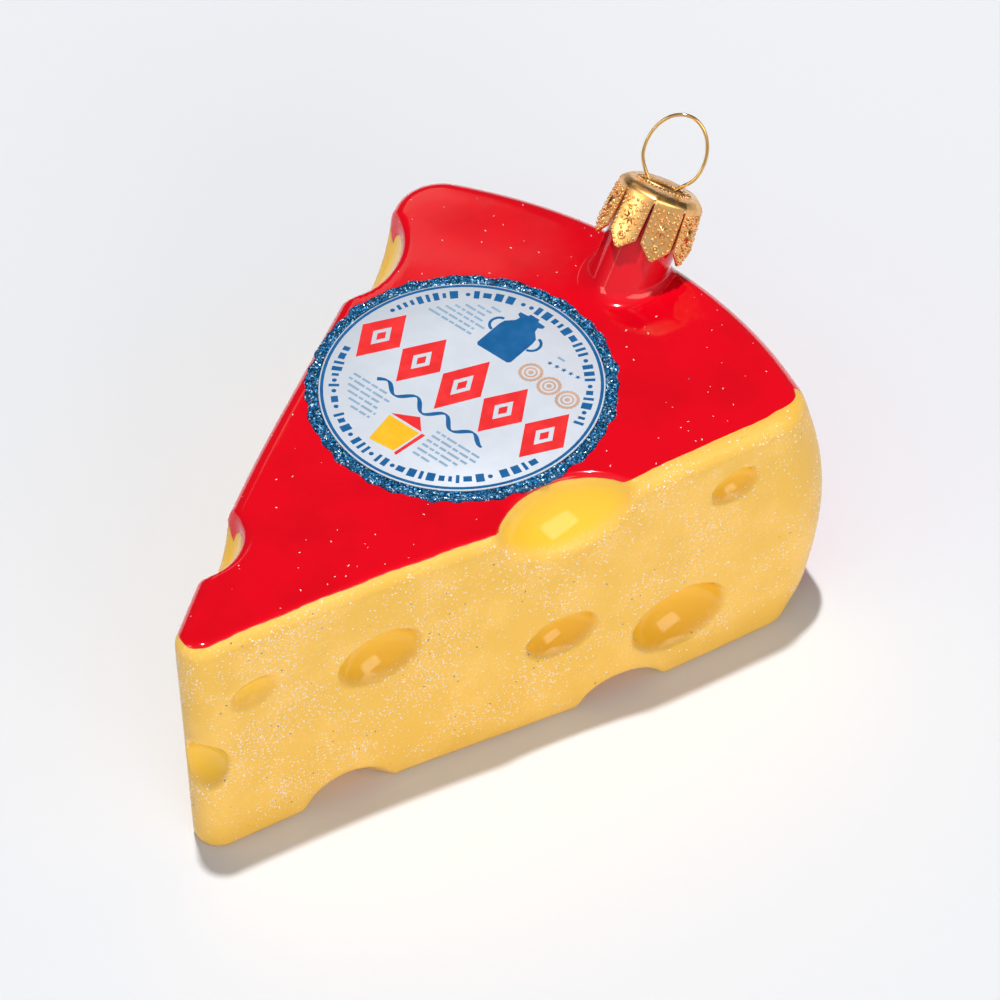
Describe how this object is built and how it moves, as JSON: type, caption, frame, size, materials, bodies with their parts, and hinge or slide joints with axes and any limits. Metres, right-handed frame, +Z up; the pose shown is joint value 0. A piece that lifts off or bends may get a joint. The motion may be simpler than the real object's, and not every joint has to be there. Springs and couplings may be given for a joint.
{
  "type": "glass cheese wedge ornament",
  "caption": "Hollow blown-glass tree ornament shaped as a wedge of waxed cheese with eye holes, a round paper label edged in glitter, a petalled gold cap and a sprung wire loop to hang it by.",
  "frame": {"origin": "middle of the bounding rectangle of the whole part, at the flat underside", "axes": "+Z up from the flat underside to the red top with its label, +Y from the wedge's tip to its rind and cap, +X to the cut face with the large scallop in its top edge"},
  "size_m": [0.064, 0.0926, 0.0539],
  "materials": {
    "lacquered_glass": "opaque gloss lacquer over silvered glass, red on the top, rind and underside, yellow on the cut faces",
    "label_paper": "smooth printed paper, pale blue grey",
    "blue_glitter": "fine blue film glitter bedded in clear glue",
    "gold_cap": "gold lacquered, stamped with beads and stars, bright",
    "gold_wire": "bright gold-coloured spring wire"
  },
  "bodies": {
    "root": {"glass_body": "lacquered_glass", "label": "label_paper", "glitter_ring": "blue_glitter", "cap": "gold_cap", "wire_hanger": "gold_wire"}
  },
  "joints": []
}
